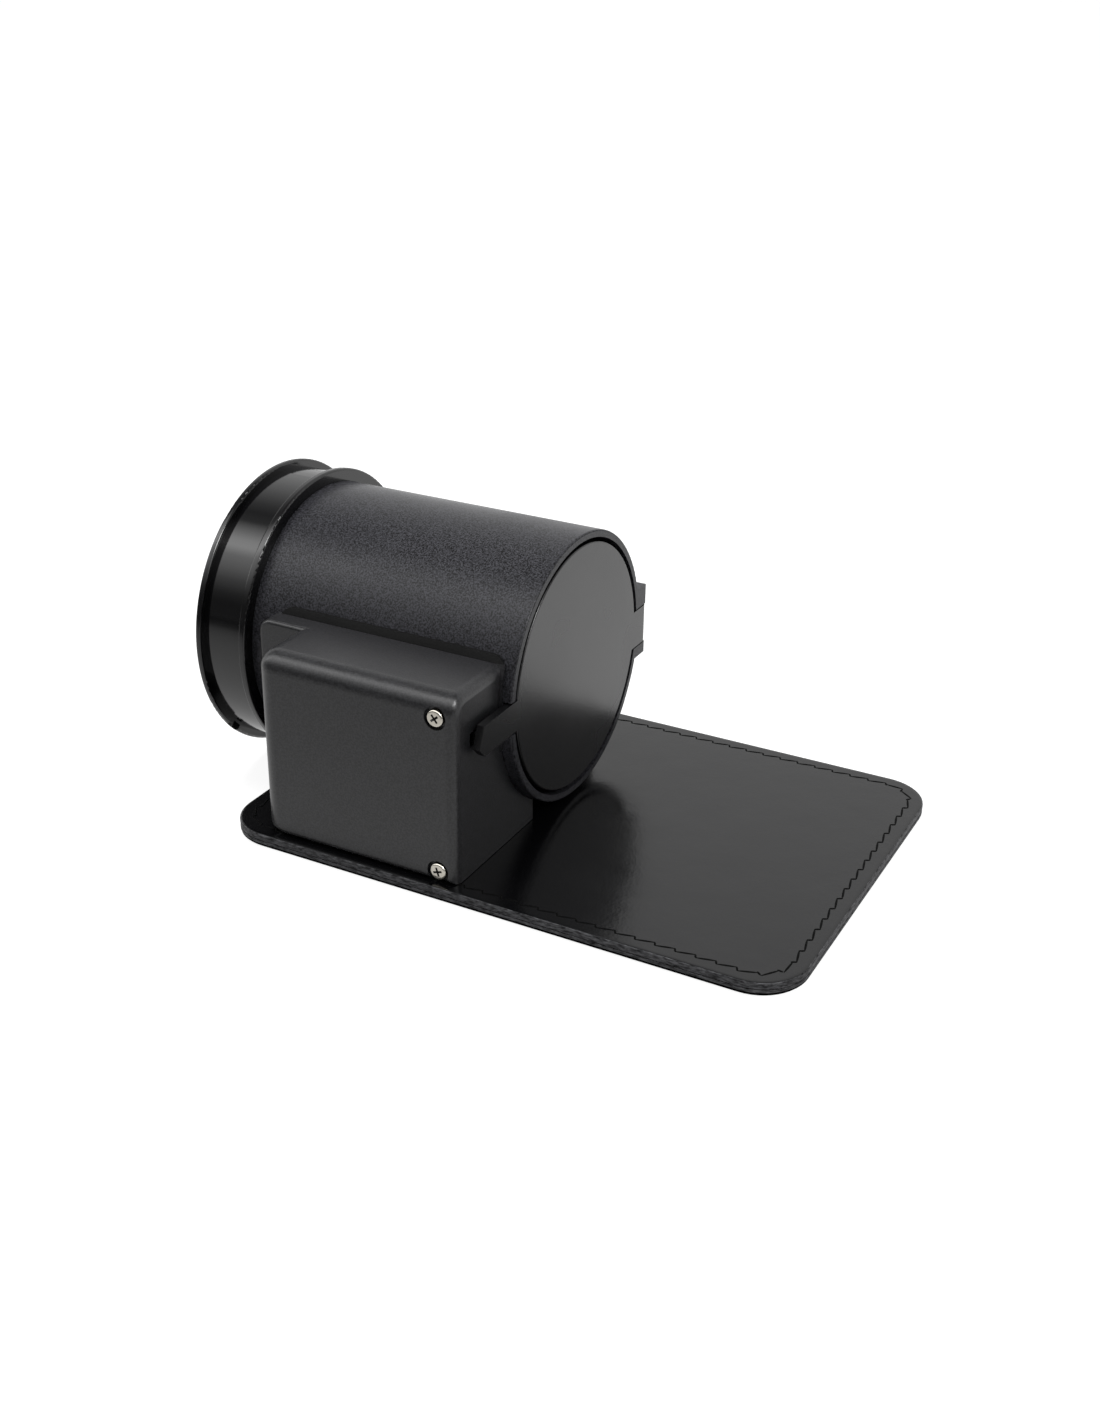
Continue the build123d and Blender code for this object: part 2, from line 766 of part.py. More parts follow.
# Latch: open-frame solenoid, its bolt and its return spring
with BuildPart() as solenoid_frame:
    solenoid_right = latch_x + solenoid_width / 2
    frame_back = chassis_front - solenoid_sheet
    block(solenoid_left - solenoid_ear, solenoid_right, frame_back, chassis_front,
          solenoid_bottom, solenoid_top)
    for bottom in (solenoid_bottom, solenoid_top - solenoid_sheet):
        block(solenoid_left, solenoid_right, solenoid_front, chassis_front, bottom, bottom + solenoid_sheet)
    with Locations((latch_x, latch_y, solenoid_top - solenoid_sheet / 2)):
        Cylinder(plunger_radius + running_gap, solenoid_sheet, mode=Mode.SUBTRACT)
    with Locations(*[facing_near(solenoid_ear_x, frame_back, z) for z in solenoid_ear_heights]):
        Hole(small_screw_radius + loose_hole, depth=solenoid_sheet)
finish(solenoid_frame.part, "solenoid_frame")

with BuildPart() as solenoid_coil:
    coil_bottom = solenoid_bottom + solenoid_sheet
    coil_top = solenoid_top - solenoid_sheet
    coil_bore = plunger_radius + running_gap
    with BuildSketch(facing_near(latch_x, latch_y, 0)):
        with BuildLine():
            Polyline(
                (coil_bore, coil_bottom),
                (bobbin_radius, coil_bottom),
                (bobbin_radius, coil_bottom + bobbin_flange),
                (winding_radius, coil_bottom + bobbin_flange),
                (winding_radius, coil_top - bobbin_flange),
                (bobbin_radius, coil_top - bobbin_flange),
                (bobbin_radius, coil_top),
                (coil_bore, coil_top),
                close=True,
            )
        make_face()
    revolve(axis=Axis((latch_x, latch_y, 0), (0, 0, 1)))
finish(solenoid_coil.part, "solenoid_coil")

solenoid_screws = pan_screws(
    [(solenoid_ear_x, z) for z in solenoid_ear_heights],
    chassis_front - solenoid_sheet,
    chassis_back - seat_gap,
    small_screw_radius,
    small_screw_head_radius,
    small_screw_head_height,
    small_screw_head_round,
)
finish(solenoid_screws, "solenoid_screws")

with BuildPart() as latch_bolt:
    plunger_bottom = solenoid_bottom + solenoid_sheet + running_gap
    with BuildSketch(facing_near(latch_x, latch_y, 0)):
        with BuildLine():
            Polyline(
                (0, plunger_bottom),
                (plunger_radius, plunger_bottom),
                (plunger_radius, collar_bottom),
                (plunger_collar_radius, collar_bottom),
                (plunger_collar_radius, collar_bottom + plunger_collar_height),
                (bolt_radius, collar_bottom + plunger_collar_height),
                (bolt_radius, bolt_top - bolt_tip_chamfer),
                (bolt_radius - bolt_tip_chamfer, bolt_top),
                (0, bolt_top),
                close=True,
            )
        make_face()
    revolve(axis=Axis((latch_x, latch_y, 0), (0, 0, 1)))
finish(latch_bolt.part, "latch_bolt")

latch_return_spring = coil_spring(
    Plane((latch_x, latch_y, solenoid_top + seat_gap)),
    latch_spring_radius,
    latch_spring_wire,
    latch_spring_room - 2 * seat_gap,
    latch_spring_turns,
    "latch_return_spring",
)
finish(latch_return_spring, "latch_return_spring")

# Supply: one lithium cell lying along X in an open cradle
with BuildPart() as battery_cell:
    with BuildSketch(facing_lid(cell_left, cell_y, cell_z)):
        Circle(cell_radius)
    extrude(amount=cell_length)
finish(battery_cell.part, "battery_cell")

with BuildPart() as battery_holder:
    tray_left = cell_left - contact_thickness
    tray_right = cell_left + cell_length + contact_thickness
    cradle_radius = cell_radius + seat_gap
    block(tray_left - holder_wall, tray_right + holder_wall, cell_y - contact_radius, chassis_front,
          2 * cell_z - holder_top, holder_top)
    with BuildSketch(facing_lid(tray_left, cell_y, cell_z)):
        Circle(cradle_radius)
        with Locations((-contact_radius, 0)):
            Rectangle(2 * contact_radius, 2 * cradle_radius)
    extrude(amount=tray_right - tray_left, mode=Mode.SUBTRACT)
finish(battery_holder.part, "battery_holder")

with BuildPart() as battery_contacts:
    for start in (tray_left, tray_right - contact_thickness):
        with BuildSketch(facing_lid(start, cell_y, cell_z)):
            Circle(contact_radius)
        extrude(amount=contact_thickness)
finish(battery_contacts.part, "battery_contacts")

# Electronics on the chassis plate
with BuildPart() as circuit_board:
    with BuildSketch(facing_near(board_left, board_back, board_bottom)):
        Rectangle(board_length, board_height, align=Align.MIN)
    extrude(amount=board_thickness)
    with Locations(*[facing_near(x, board_front, z) for x, z in board_screw_points]):
        Hole(small_screw_radius + loose_hole, depth=board_thickness)
finish(circuit_board.part, "circuit_board")

board_screws = pan_screws(
    board_screw_points,
    board_front,
    chassis_front - seat_gap,
    small_screw_radius,
    small_screw_head_radius,
    small_screw_head_height,
    small_screw_head_round,
)
finish(board_screws, "board_screws")

component_left = board_left + 2 * board_corner_inset
component_bottom = board_bottom + board_corner_inset
receiver_height = board_height - receiver_headroom
with BuildPart() as receiver_module:
    block(component_left, component_left + receiver_length, board_front - receiver_thickness, board_front,
          component_bottom, component_bottom + receiver_height)
    fillet(edges().filter_by(Axis.Y), component_round)
finish(receiver_module.part, "receiver_module")

capacitor_x = component_left + receiver_length + component_gap + capacitor_radius
with BuildPart() as driver_capacitor:
    with BuildSketch(facing_near(capacitor_x, board_front, board_bottom + board_height / 2)):
        Circle(capacitor_radius)
    extrude(amount=capacitor_height)
    fillet(faces().sort_by(Axis.Y)[0].edges(), component_round)
finish(driver_capacitor.part, "driver_capacitor")

reed_z = component_bottom + receiver_height + 2 * reed_radius
with BuildPart() as reed_switch:
    with BuildSketch(facing_lid(component_left, board_front - reed_radius, reed_z)):
        Circle(reed_radius)
    extrude(amount=reed_length)
    fillet(edges(), reed_radius / 2)
finish(reed_switch.part, "reed_switch")

antenna_z = board_bottom + board_height - 2 * antenna_radius
antenna_x = board_left + 3 * board_corner_inset
with BuildPart() as antenna_wire:
    with BuildLine():
        FilletPolyline(
            (antenna_x, board_front, antenna_z),
            (antenna_x, board_front - antenna_rise, antenna_z),
            (antenna_x + antenna_reach, board_front - antenna_rise, antenna_z),
            radius=antenna_rise / 2,
        )
    with BuildSketch(facing_near(antenna_x, board_front, antenna_z)):
        Circle(antenna_radius)
    sweep()
finish(antenna_wire.part, "antenna_wire")
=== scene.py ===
"""Looks of the ball launcher: finishes, and its leather base, stitching, screws and springs.

Metres, in the part's own frame: X along the base towards the lid, -Y towards the control box, Z up.
"""
import math

import bmesh
import bpy
from mathutils import Matrix, Vector


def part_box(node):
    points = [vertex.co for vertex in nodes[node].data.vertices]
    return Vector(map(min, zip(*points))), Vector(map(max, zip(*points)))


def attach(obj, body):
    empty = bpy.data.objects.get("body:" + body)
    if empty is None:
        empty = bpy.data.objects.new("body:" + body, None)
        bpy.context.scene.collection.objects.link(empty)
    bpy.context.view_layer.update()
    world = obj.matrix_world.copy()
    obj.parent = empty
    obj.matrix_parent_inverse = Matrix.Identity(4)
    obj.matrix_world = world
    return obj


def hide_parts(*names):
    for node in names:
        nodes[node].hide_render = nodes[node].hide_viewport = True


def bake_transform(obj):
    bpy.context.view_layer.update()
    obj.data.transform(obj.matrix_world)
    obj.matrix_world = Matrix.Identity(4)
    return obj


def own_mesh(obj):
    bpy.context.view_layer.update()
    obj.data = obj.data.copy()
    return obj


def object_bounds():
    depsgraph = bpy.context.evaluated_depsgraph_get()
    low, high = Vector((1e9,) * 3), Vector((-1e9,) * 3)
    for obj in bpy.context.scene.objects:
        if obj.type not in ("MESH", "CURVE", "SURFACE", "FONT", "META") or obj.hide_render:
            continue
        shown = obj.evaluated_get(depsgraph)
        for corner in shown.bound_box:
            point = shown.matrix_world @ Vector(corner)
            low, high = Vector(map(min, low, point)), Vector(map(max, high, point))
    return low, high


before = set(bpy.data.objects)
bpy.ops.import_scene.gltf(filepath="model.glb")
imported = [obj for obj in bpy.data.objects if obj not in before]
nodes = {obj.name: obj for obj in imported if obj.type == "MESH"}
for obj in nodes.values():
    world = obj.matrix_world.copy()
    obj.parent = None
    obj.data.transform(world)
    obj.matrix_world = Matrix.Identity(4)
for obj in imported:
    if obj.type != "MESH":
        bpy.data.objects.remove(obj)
cad_low, cad_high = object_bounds()

MM = 0.001
SMOOTH_BELOW = math.radians(40)

# The photograph's view
PHOTO_HEIGHT = 1422
FOCAL_PIXELS = 1712
SENSOR = 36.0
CLIP_START = 0.01
CAMERA_AT = Vector((184.34, -369.24, 234.90)) * MM
CAMERA_AZIMUTH = math.radians(27.927)
CAMERA_ELEVATION = math.radians(26.101)
CAMERA_ROLL = math.radians(0.643)

# Leather base; the flat ring inside the edge keeps the large face's shading flat
PLATE_CORNER = 13 * MM
PLATE_CORNER_STEPS = 12
LEATHER_EDGE_ROUND = 0.45 * MM
LEATHER_FOOT_ROUND = 1.2 * MM
LEATHER_EDGE_STEPS = 3
LEATHER_EDGE_FLAT = 1.2 * MM

# Z of a face's normal: beyond the first it is grain side, and past the second the foot takes a painted
# contact shadow
RIM_TILT = 0.8
FOOT_SHADOW_TILT = 0.2

# Places of further materials in a piece's list
RIM_MATERIAL = 1
FOOT_SHADOW_MATERIAL = 2
RECESS_SHADE_MATERIAL = 1
LIP_SHADE_MATERIAL = 1

# Stitching
SEAM_INSET = 4 * MM
STITCH_PITCH = 5.3 * MM
STITCH_LENGTH = 5.4 * MM
STITCH_WIDTH = 0.6 * MM
STITCH_HEIGHT = 0.3 * MM
STITCH_STAND = 0.15 * MM
STITCH_STAND_BELOW = 0.03 * MM
STITCH_SLANT = math.radians(13.6)
STITCH_SIDES = 8
STITCH_STEPS = 6
# Dark thread-coloured lenses at the awl's slits between stitches: painted shade of the holes
SLIT_LENGTH = 1.7 * MM
SLIT_WIDTH = 0.55 * MM
SLIT_HEIGHT = 0.2 * MM
SLIT_TURN = math.radians(-62)

# Height of the cover's saddle lip that is painted darker, as shade against the tube, and finished
# rougher
LIP_SHADE_HEIGHT = 1.9 * MM

# Screws
SCREW_SIDES = 40
COVER_HEAD_RADIUS = 2.35 * MM
COVER_HEAD_HEIGHT = 1.6 * MM
COVER_TOP_RADIUS = 1.75 * MM
COVER_HEAD_ROUND = 0.6 * MM
COVER_SHANK_RADIUS = 1.4 * MM
COVER_SCREW_TURNS = (math.radians(38), math.radians(17))
BASE_HEAD_RADIUS = 2.8 * MM
BASE_HEAD_HEIGHT = 1.4 * MM
BASE_SHANK_RADIUS = 1.4 * MM
BASE_SINK_RADIUS = 3.2 * MM
BASE_SINK_DEPTH = 1.7 * MM
CROSS_REACH = 1.3 * MM
CROSS_WIDTH = 0.6 * MM
CROSS_DEPTH = 1.0 * MM
CROSS_FLOOR_SHARE = 0.55
DOME_STEPS = 6

# Springs
EJECTOR_WIRE = 2.2 * MM
EJECTOR_TURNS = 5
LATCH_WIRE = 0.5 * MM
LATCH_TURNS = 3
SPRING_STEPS_PER_TURN = 48
WIRE_SIDES = 12

# Textures: the noise values in use, spreads of roughness, sizes of features, depths of relief
NOISE_RANGE = (0.3, 0.7)
PEBBLE_RANGE = (0.4, 0.6)
FIBRE_RANGE = (0.35, 0.65)
LEATHER_SHINE = (0.14, 0.22)
STEEL_SHINE_SHARES = (0.7, 1.4)
FLOW_SIZE = 25 * MM
PORE_SIZE = 0.9 * MM
PORE_DEPTH = 0.012 * MM
CREASE_SIZE = 14 * MM
CREASE_DEPTH = 0.12 * MM
FIBRE_SIZE = 0.5 * MM
FIBRE_DEPTH = 0.2 * MM
FIBRE_STRETCH = (0.25, 0.25, 1.0)
PLY_SIZE = 0.4 * MM
PLY_DEPTH = 0.15 * MM
TOOL_MARK_SIZE = 0.35 * MM
WINDING_WIRE = 0.3 * MM
WINDING_DEPTH = 0.15 * MM
WAVES_PER_SCALE = 20
WEAVE_SIZE = 0.8 * MM
WRAP_SIZE = 6 * MM

# Studio: a white floor and backdrop, a softbox high in front that fades downwards, and two lamps
FLOOR_HALF = 6.0
FLOOR_DROP = 0.05 * MM
FLOOR_PLAIN_GREY = 0.6
FLOOR_SEEN = 0.9
FLOOR_SEEN_GREY = 0.22
FLOOR_MIRRORED_GREY = 0.12
# Painted pool of light on the floor as mirrors see it: where it starts and ends along Y, and its glow
# at the back
POOL_FRONT = -0.45
POOL_BACK = 0.1
POOL_BACK_LEVEL = 0.85
AMBIENT = 0.5
LAMP_DISTANCE = 0.9
KEY_LAMP_FROM = (-0.25, 0.08, 0.96)
KEY_LAMP_SIZE = 0.5
KEY_LAMP_WATTS = 12
SIDE_LAMP_FROM = (0.68, -0.31, 0.66)
SIDE_LAMP_SIZE = 0.25
SIDE_LAMP_WATTS = 3

# Brightness of the surroundings by degrees up from the front horizon and over to the back
SURROUNDINGS_TOP = 4.0
SURROUNDINGS = [
    (0, 0.12), (14, 0.1), (22, 0.22), (33, 0.69), (43, 1.45), (54, 2.1), (62, 3.8), (68, 3.4),
    (75, 2.1), (86, 0.31), (96, 0.18), (106, 0.35), (117, 0.63), (128, 0.85), (140, 0.95), (180, 0.9),
]


def linear(hex_colour):
    """Linear RGBA of an sRGB hex colour."""
    channels = [int(hex_colour[i:i + 2], 16) / 255 for i in (0, 2, 4)]
    light = [c / 12.92 if c <= 0.04045 else ((c + 0.055) / 1.055) ** 2.4 for c in channels]
    return tuple(light) + (1.0,)


def grey(level):
    """Linear RGBA of a grey."""
    return (level, level, level, 1.0)


def add_node(tree, kind, inputs=None, **settings):
    """Add a node with its settings, and set or link its inputs."""
    made = tree.nodes.new(kind)
    for name, value in settings.items():
        setattr(made, name, value)
    for name, value in (inputs or {}).items():
        if isinstance(value, bpy.types.NodeSocket):
            tree.links.new(value, made.inputs[name])
        else:
            made.inputs[name].default_value = value
    return made


def new_material(name):
    """A material with its emptied node tree, and the place on the object for its textures."""
    material = bpy.data.materials.new(name)
    material.use_nodes = True
    tree = material.node_tree
    tree.nodes.clear()
    return material, tree, add_node(tree, "ShaderNodeTexCoord").outputs["Object"]


def noise(tree, place, size, detail, roughness=0.5):
    """Noise with features of about the given size."""
    made = add_node(tree, "ShaderNodeTexNoise", {
        "Vector": place, "Scale": 1 / size, "Detail": detail, "Roughness": roughness})
    return made.outputs["Fac"]


def remap(tree, value, source, low=0.0, high=1.0):
    """Stretch a value from its source range to low and high."""
    made = add_node(tree, "ShaderNodeMapRange", {
        "Value": value, "From Min": source[0], "From Max": source[1], "To Min": low, "To Max": high})
    return made.outputs["Result"]


def mix_colours(tree, share, low, high):
    """A colour between two hex colours."""
    made = add_node(tree, "ShaderNodeMix", {
        "Factor": share, "A": linear(low), "B": linear(high)}, data_type="RGBA")
    return made.outputs["Result"]


def relief(tree, height, depth, **over):
    """Normals of a surface that a texture raises, over those of another relief if one is given."""
    made = add_node(tree, "ShaderNodeBump", {
        "Height": height, "Strength": 1.0, "Distance": depth, **over})
    return made.outputs["Normal"]


def close_tree(tree, inputs):
    """End a material's tree with its shader."""
    shader = add_node(tree, "ShaderNodeBsdfPrincipled", inputs)
    add_node(tree, "ShaderNodeOutputMaterial", {"Surface": shader.outputs["BSDF"]})


def moulded_abs(name, colour, glint_colour, grain, depth, roughness, spread, ior):
    """Plastic moulded in an etched tool: black all through, with a fine pebbled grain.

    The grain is drawn a little coarser than a usual one, so that it shows. The pebble tops are painted
    lighter, a painted highlight standing for their glints.
    """
    material, tree, place = new_material(name)
    pebbles = noise(tree, place, grain, detail=3.0, roughness=0.65)
    glint_share = remap(tree, pebbles, PEBBLE_RANGE)
    flow = noise(tree, place, FLOW_SIZE, detail=2.0)
    close_tree(tree, {
        # Pebble tops take the lighter colour: painted glints
        "Base Color": mix_colours(tree, glint_share, colour, glint_colour),
        "Roughness": remap(tree, flow, NOISE_RANGE, roughness - spread, roughness + spread),
        "IOR": ior, "Normal": relief(tree, pebbles, depth)})
    return material


def finished_leather():
    """Full-grain leather under a clear finish: smooth, glossy, with faint creases and pores."""
    material, tree, place = new_material("finished_black_leather")
    pores = add_node(tree, "ShaderNodeTexVoronoi", {"Vector": place, "Scale": 1 / PORE_SIZE})
    creases = noise(tree, place, CREASE_SIZE, detail=3.0)
    pitted = relief(tree, pores.outputs["Distance"], PORE_DEPTH)
    close_tree(tree, {
        "Base Color": linear("050506"), "Roughness": remap(tree, creases, NOISE_RANGE, *LEATHER_SHINE),
        "IOR": 1.45, "Normal": relief(tree, creases, CREASE_DEPTH, Normal=pitted)})
    return material


def leather_edge():
    """Cut edge of the leather, dyed black and rubbed: fibrous and duller than the face."""
    material, tree, place = new_material("dyed_leather_edge")
    stretched = add_node(tree, "ShaderNodeMapping", {"Vector": place, "Scale": FIBRE_STRETCH})
    fibres = noise(tree, stretched.outputs["Vector"], FIBRE_SIZE, detail=3.0, roughness=0.7)
    streaks = remap(tree, fibres, FIBRE_RANGE)
    close_tree(tree, {
        "Base Color": mix_colours(tree, streaks, "060607", "4c4c4e"), "Roughness": 0.45,
        "IOR": 1.2, "Normal": relief(tree, fibres, FIBRE_DEPTH)})
    return material


def waxed_thread():
    """Black bonded thread: dull, with the twist of its plies."""
    material, tree, place = new_material("waxed_black_thread")
    twist = noise(tree, place, PLY_SIZE, detail=1.0)
    close_tree(tree, {
        "Base Color": linear("050505"), "Roughness": 0.6, "IOR": 1.12,
        "Normal": relief(tree, twist, PLY_DEPTH)})
    return material


def plated_steel(name, colour, roughness, scratch):
    """Plated or drawn steel: a bright metal with fine tool marks that spread its highlights."""
    material, tree, place = new_material(name)
    marks = noise(tree, place, TOOL_MARK_SIZE, detail=3.0, roughness=0.7)
    low, high = (roughness * share for share in STEEL_SHINE_SHARES)
    close_tree(tree, {
        "Base Color": linear(colour), "Metallic": 1.0,
        "Roughness": remap(tree, marks, NOISE_RANGE, low, high),
        "Normal": relief(tree, marks, scratch)})
    return material


def wound_copper():
    """Enamelled copper wire in close layers: a warm sheen with fine grooves round the bobbin, painted
    darker in the grooves as shade.
    """
    material, tree, place = new_material("enamelled_copper_winding")
    turns = add_node(tree, "ShaderNodeTexWave", {
        "Vector": place, "Scale": 1 / (WAVES_PER_SCALE * WINDING_WIRE), "Distortion": 0.4},
        wave_type="BANDS", bands_direction="Z").outputs["Fac"]
    # Colour darker in the grooves between turns: painted shade; the bump gives the grooves themselves
    close_tree(tree, {
        "Base Color": mix_colours(tree, turns, "5c2f16", "b3672f"), "Metallic": 0.85,
        "Roughness": 0.3, "Normal": relief(tree, turns, WINDING_DEPTH)})
    return material


def solder_mask():
    """Glass-fibre board under green solder mask: satin, with the weave just showing through."""
    material, tree, place = new_material("green_solder_mask")
    weave = add_node(tree, "ShaderNodeTexChecker", {
        "Vector": place, "Scale": 1 / WEAVE_SIZE,
        "Color1": linear("0c4a26"), "Color2": linear("115a2f")})
    close_tree(tree, {"Base Color": weave.outputs["Color"], "Roughness": 0.35})
    return material


def sleeve(name, low, high, roughness, **shader_inputs):
    """Thin plain coat, wrap, jacket or glass: one smooth colour with a little unevenness."""
    material, tree, place = new_material(name)
    uneven = noise(tree, place, WRAP_SIZE, detail=2.0)
    close_tree(tree, {
        "Base Color": mix_colours(tree, uneven, low, high), "Roughness": roughness, **shader_inputs})
    return material


# The second colour of each plastic is painted onto the pebble tops as their glints
tube_plastic = moulded_abs("grained_black_abs", "060607", "323236", grain=0.45 * MM, depth=0.03 * MM,
                           roughness=0.32, spread=0.04, ior=1.31)
box_plastic = moulded_abs("matte_black_abs", "101011", "232325", grain=0.5 * MM, depth=0.03 * MM,
                          roughness=0.32, spread=0.03, ior=1.52)
lid_plastic = moulded_abs("satin_black_abs", "040405", "0b0b0c", grain=0.5 * MM, depth=0.025 * MM,
                          roughness=0.26, spread=0.03, ior=1.58)
cap_plastic = moulded_abs("polished_black_abs", "050506", "060607", grain=0.6 * MM, depth=0.003 * MM,
                          roughness=0.1, spread=0.03, ior=1.56)
# The lip's darker colour is painted shade; its higher roughness is a duller finish
lip_shade_plastic = moulded_abs("black_abs_painted_lip_shade", "040404", "0a0a0a", grain=0.5 * MM, depth=0.03 * MM,
                          roughness=0.45, spread=0.05, ior=1.35)
inner_plastic = moulded_abs("black_nylon", "0d0d0e", "101011", grain=0.5 * MM, depth=0.02 * MM,
                            roughness=0.4, spread=0.05, ior=1.53)
leather_face = finished_leather()
leather_rim = leather_edge()
# Near-black for the lower layer's rounded foot: painted contact shadow where the leather meets the
# floor
foot_contact_shadow = sleeve("black_painted_foot_shadow", "020202", "050505", roughness=0.9, IOR=1.05)
thread = waxed_thread()
nickel = plated_steel("nickel_plated_steel", "cfcabf", roughness=0.2, scratch=0.004 * MM)
zinc = plated_steel("zinc_plated_steel", "a9abad", roughness=0.3, scratch=0.006 * MM)
# Dark brown-black for the walls and floor of the screws' cross recesses: painted shade in the recess
recess_painted_shade = sleeve("screw_recess_painted_shade", "0d0b09", "1c1814", roughness=0.6)
spring_wire = plated_steel("drawn_spring_wire", "7c7f83", roughness=0.32, scratch=0.008 * MM)
tinned_sheet = plated_steel("tinned_sheet", "b4b3ad", roughness=0.28, scratch=0.005 * MM)
reed_glass = sleeve("sealed_glass_capsule", "9fb8a8", "adc4b6", roughness=0.05,
                    **{"Transmission Weight": 0.8})

NODE_FINISH = {
    "launch_tube": tube_plastic,
    "control_box_cover": box_plastic,
    "lid": lid_plastic,
    "rear_cap": cap_plastic,
    "pusher_plate": inner_plastic,
    "battery_holder": inner_plastic,
    "base_stiffener": zinc,
    "lid_hinge_pin": zinc,
    "solenoid_frame": zinc,
    "solenoid_screws": zinc,
    "board_screws": zinc,
    "latch_bolt": zinc,
    "solenoid_coil": wound_copper(),
    "circuit_board": solder_mask(),
    "receiver_module": tinned_sheet,
    "battery_contacts": tinned_sheet,
    "driver_capacitor": sleeve("dark_shrink_sleeve", "14161d", "1c1f29", roughness=0.25),
    "reed_switch": reed_glass,
    "antenna_wire": sleeve("pvc_wire_jacket", "141414", "1d1d1d", roughness=0.3),
    "battery_cell": sleeve("plain_cell_wrap", "6b6d74", "767981", roughness=0.3),
}
for node_name, finish in NODE_FINISH.items():
    slots = nodes[node_name].data.materials
    slots.clear()
    slots.append(finish)

# The cover's saddle lip, above its flat top, is painted darker than the rest of the cover as the shade
# where it meets the tube, and is rougher
cover_mesh = nodes["control_box_cover"].data
cover_mesh.materials.append(lip_shade_plastic)
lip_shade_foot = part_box("control_box_cover")[1].z - LIP_SHADE_HEIGHT
for polygon in cover_mesh.polygons:
    if polygon.center.z > lip_shade_foot:
        polygon.material_index = LIP_SHADE_MATERIAL


def make_piece(bm, name, body, slot, *materials):
    """Turn a bmesh into a piece that rides on a body, smooth apart from its sharp edges."""
    mesh = bpy.data.meshes.new(name)
    bm.to_mesh(mesh)
    bm.free()
    for material in materials:
        mesh.materials.append(material)
    mesh.shade_smooth()
    mesh.set_sharp_from_angle(angle=SMOOTH_BELOW)
    piece = bpy.data.objects.new(name, mesh)
    bpy.context.scene.collection.objects.link(piece)
    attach(piece, body)
    return piece


def verts_in(geom):
    """Vertices in an operator's result."""
    return [item for item in geom if isinstance(item, bmesh.types.BMVert)]


def edges_of(verts):
    """Edges that end at the given vertices, each once and in the order met."""
    return list(dict.fromkeys(edge for vert in verts for edge in vert.link_edges))


def open_edges(bm):
    """Edges with a face on one side only."""
    return [edge for edge in bm.edges if edge.is_boundary]


def leather_layer(name, node, outward, outer_round, holes=()):
    """One leather layer with rounded edges, its outer side up (1) or down (-1)."""
    low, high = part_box(node)
    size = high - low
    bm = bmesh.new()
    bmesh.ops.create_grid(bm, x_segments=1, y_segments=1, size=0.5,
                          matrix=Matrix.Diagonal((size.x, size.y, 1, 1)))
    bmesh.ops.bevel(bm, geom=bm.verts[:], offset=PLATE_CORNER, affect="VERTICES",
                    segments=PLATE_CORNER_STEPS, profile=0.5, material=-1)
    face = bm.faces[:][0]
    bmesh.ops.inset_region(bm, faces=[face], thickness=LEATHER_EDGE_FLAT, use_even_offset=True,
                           use_boundary=True)
    rim = open_edges(bm)
    if holes:
        sink_holes(bm, face, holes)
    wall = bmesh.ops.extrude_edge_only(bm, edges=rim)["geom"]
    bmesh.ops.translate(bm, verts=verts_in(wall), vec=(0, 0, -size.z))
    lower_rim = open_edges(bm)
    bmesh.ops.contextual_create(bm, geom=lower_rim)
    bmesh.ops.recalc_face_normals(bm, faces=bm.faces[:])
    for edges, radius in ((rim, outer_round), (lower_rim, LEATHER_EDGE_ROUND)):
        bmesh.ops.bevel(bm, geom=edges, offset=radius, affect="EDGES", segments=LEATHER_EDGE_STEPS,
                        profile=0.5, material=-1)
    reach_x = size.x / 2 - PLATE_CORNER
    reach_y = size.y / 2 - PLATE_CORNER
    for side in bm.faces:
        centre = side.calc_center_median()
        inside = abs(centre.x) < reach_x and abs(centre.y) < reach_y
        if inside or abs(side.normal.z) > RIM_TILT:
            continue
        # The lower layer's foot rounding gets the painted contact shadow
        at_foot = outward < 0 and side.normal.z > FOOT_SHADOW_TILT
        side.material_index = FOOT_SHADOW_MATERIAL if at_foot else RIM_MATERIAL
    if outward < 0:
        bmesh.ops.scale(bm, verts=bm.verts[:], vec=(1, 1, -1))
        bmesh.ops.recalc_face_normals(bm, faces=bm.faces[:])
    bmesh.ops.translate(bm, verts=bm.verts[:], vec=(0, 0, high.z if outward > 0 else low.z))
    layer = make_piece(bm, name, "housing", "black_leather", leather_face, leather_rim, foot_contact_shadow)
    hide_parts(node)


def sink_holes(bm, face, holes):
    """Open countersunk blind holes in a flat face at (x, y) places."""
    loop = list(face.edges)
    bmesh.ops.delete(bm, geom=[face], context="FACES_ONLY")
    rings = []
    for x, y in holes:
        ring = bmesh.ops.create_circle(bm, segments=SCREW_SIDES, radius=BASE_SINK_RADIUS,
                                       matrix=Matrix.Translation((x, y, 0)))["verts"]
        rings.append((Vector((x, y, 0)), edges_of(ring)))
    edges = loop + [edge for _, ring in rings for edge in ring]
    bmesh.ops.triangle_fill(bm, use_beauty=True, use_dissolve=False, edges=edges, normal=(0, 0, 1))
    share = BASE_SHANK_RADIUS / BASE_SINK_RADIUS
    for centre, ring in rings:
        foot = verts_in(bmesh.ops.extrude_edge_only(bm, edges=ring)["geom"])
        bmesh.ops.scale(bm, verts=foot, vec=(share, share, 1), space=Matrix.Translation(-centre))
        bmesh.ops.translate(bm, verts=foot, vec=(0, 0, -BASE_SINK_DEPTH))
        bmesh.ops.contextual_create(bm, geom=foot)


